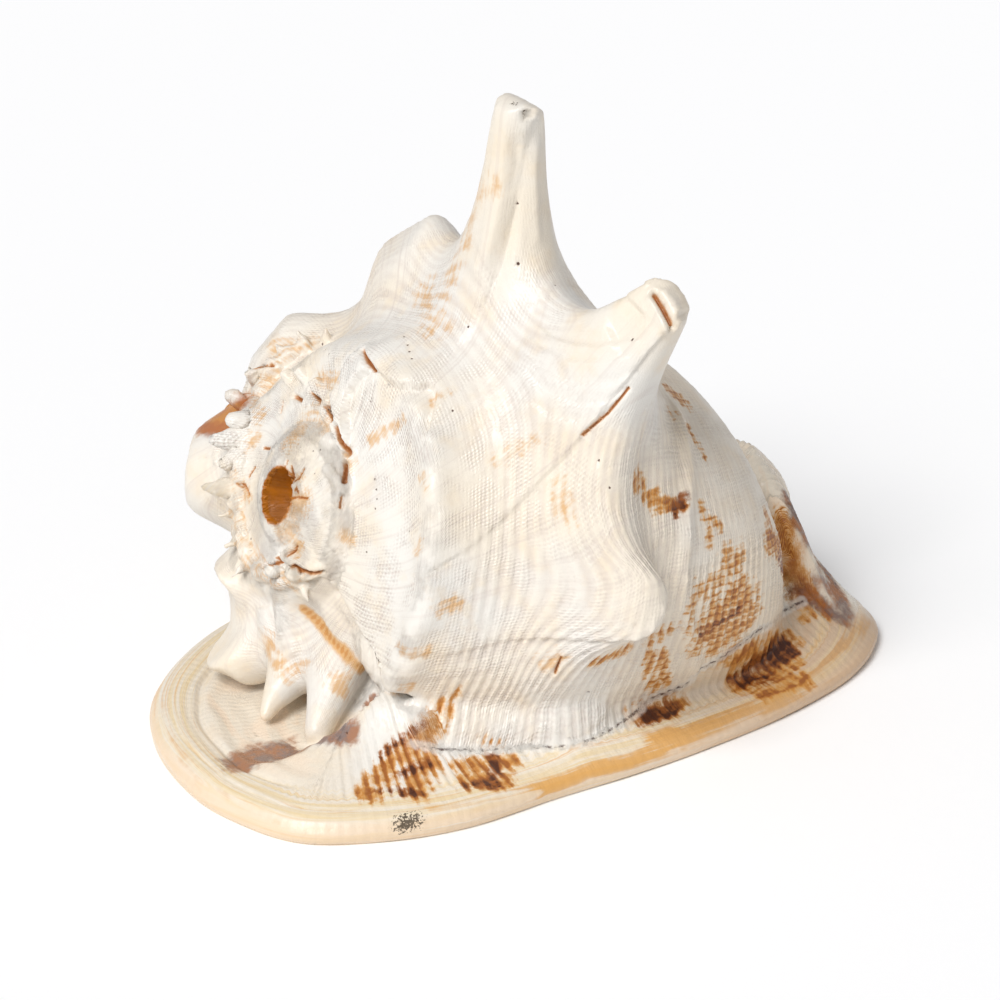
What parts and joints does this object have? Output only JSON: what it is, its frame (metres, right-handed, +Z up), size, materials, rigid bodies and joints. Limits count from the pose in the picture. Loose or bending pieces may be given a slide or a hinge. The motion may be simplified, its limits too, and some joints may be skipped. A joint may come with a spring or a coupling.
{
  "type": "horned helmet shell",
  "caption": "Large horned helmet shell, cream with orange-brown markings, lying on its mouth, with a worn hole at the tip of its spire.",
  "frame": {"origin": "centre of the bounding box seen from above, at the height of the flat foot", "axes": "+X from the spire towards the front canal, +Y towards the shield side, +Z up out of the back of the shell"},
  "size_m": [0.2362, 0.1665, 0.1919],
  "materials": {
    "cream_shell": "cream-white natural shell with a soft gloss"
  },
  "bodies": {
    "root": {"shell": "cream_shell"}
  },
  "joints": []
}
